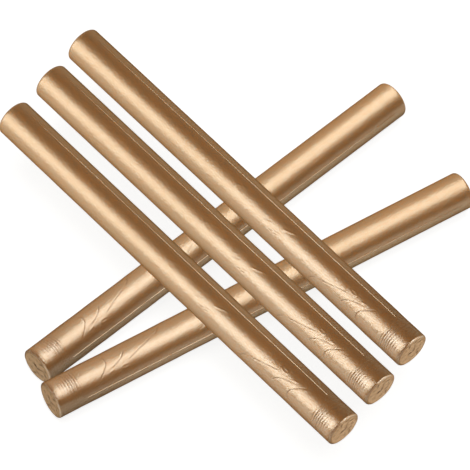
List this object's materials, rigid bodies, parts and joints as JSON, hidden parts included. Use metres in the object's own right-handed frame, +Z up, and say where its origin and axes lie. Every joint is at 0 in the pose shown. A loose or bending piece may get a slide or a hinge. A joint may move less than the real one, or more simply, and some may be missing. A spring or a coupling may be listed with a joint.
{
  "type": "sealing wax stick set",
  "caption": "Loose pile of round pearl-gold sealing wax sticks for a wax gun, some laid across others, each a solid casting with a flat gate end, shrink rings and fine parting lines.",
  "frame": {"origin": "middle of the pile's box, on the table that the two lower sticks lie on", "axes": "+X to the right in the picture, +Y away from the viewer, +Z up from the table"},
  "size_m": [0.1332, 0.1272, 0.0221],
  "materials": {
    "gold_wax": "satin wax with fine gold mica in it"
  },
  "bodies": {
    "lower_rear": {"lower_rear_stick": "gold_wax"},
    "lower_front": {"lower_front_stick": "gold_wax"},
    "upper_left": {"upper_left_stick": "gold_wax"},
    "upper_middle": {"upper_middle_stick": "gold_wax"},
    "upper_right": {"upper_right_stick": "gold_wax"}
  },
  "joints": [
    {"name": "lower_front_draw", "type": "slide", "parent": "lower_rear", "child": "lower_front", "axis": [-0.809, -0.5878, 0], "range_m": [0, 0.14]},
    {"name": "upper_left_lift", "type": "slide", "parent": "lower_rear", "child": "upper_left", "axis": [0, 0, 1], "range_m": [0, 0.12]},
    {"name": "upper_middle_lift", "type": "slide", "parent": "lower_rear", "child": "upper_middle", "axis": [0, 0, 1], "range_m": [0, 0.12]},
    {"name": "upper_right_lift", "type": "slide", "parent": "lower_rear", "child": "upper_right", "axis": [0, 0, 1], "range_m": [0, 0.12]}
  ]
}
